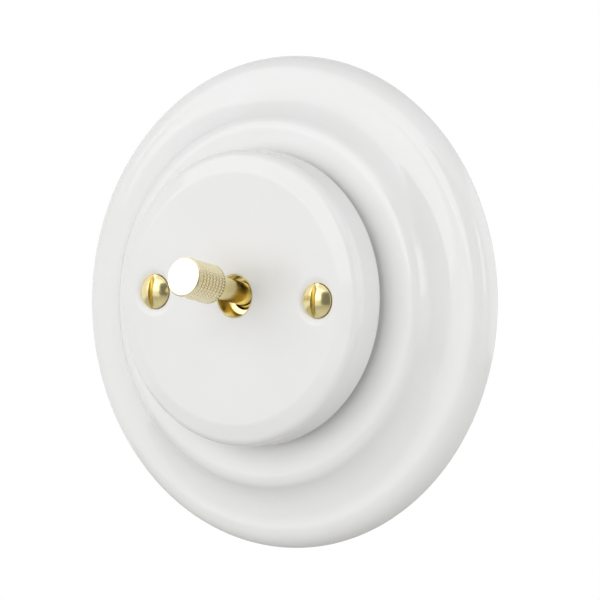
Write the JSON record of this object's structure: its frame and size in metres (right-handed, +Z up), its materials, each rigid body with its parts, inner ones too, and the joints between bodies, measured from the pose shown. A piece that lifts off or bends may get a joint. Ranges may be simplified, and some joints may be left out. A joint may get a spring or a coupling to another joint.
{
  "type": "porcelain toggle switch",
  "caption": "Round flush wall switch: white porcelain frame and cover, knurled brass toggle lever in a brass bush, slotted brass screws, and a rocking-contact switch behind a steel plate.",
  "frame": {"origin": "where the cover's axis meets the wall plane, midway between the two wall-box screw slots", "axes": "+Z up the wall, +X to the right, -Y out of the wall into the room"},
  "size_m": [0.104, 0.061, 0.104],
  "materials": {
    "porcelain": "white glaze, high gloss",
    "polished_brass": "polished and lacquered",
    "knurled_brass": "fine diamond knurl, polished end",
    "plain_brass": "machined",
    "zinc_steel": "zinc plated",
    "bright_steel": "bright drawn",
    "moulding": "moulded thermoset",
    "fibre": "pressed fibre",
    "silver": "silver contact face"
  },
  "bodies": {
    "base": {"outer_frame": "porcelain", "centre_cover": "porcelain", "cover_screws": "polished_brass", "cover_posts": "plain_brass", "lever_bush": "polished_brass", "bush_nut": "plain_brass", "lever_pin": "bright_steel", "bridge": "zinc_steel", "bridge_screws": "zinc_steel", "support_plate": "zinc_steel", "switch_housing": "moulding", "arc_shield": "fibre", "centre_terminal": "plain_brass", "upper_terminal": "plain_brass", "lower_terminal": "plain_brass", "fixed_tips": "silver", "terminal_screws": "zinc_steel"},
    "lever": {"lever_stem": "polished_brass", "lever_knob": "knurled_brass"},
    "plunger": {"plunger": "fibre", "plunger_spring": "bright_steel"},
    "rocker": {"rocker_contact": "plain_brass", "rocker_tips": "silver"}
  },
  "joints": [
    {"name": "lever_tilt", "type": "hinge", "parent": "base", "child": "lever", "pos_m": [0, -0.0155, 0], "axis": [1, 0, 0], "range_deg": [0, 19.2]},
    {"name": "rocker_tilt", "type": "hinge", "parent": "base", "child": "rocker", "pos_m": [0, 0.00053, 0], "axis": [1, 0, 0], "range_deg": [-16, 0]},
    {"name": "plunger_slide", "type": "slide", "parent": "lever", "child": "plunger", "axis": [0, -0.986, 0.1668], "range_m": [0, 0.0005], "stiffness_N_per_m": 800, "springref_m": -0.002, "deforming": ["plunger_spring"]}
  ],
  "couplings": [
    {"joint": "rocker_tilt", "follows": "lever_tilt", "ratio": -0.83333}
  ]
}
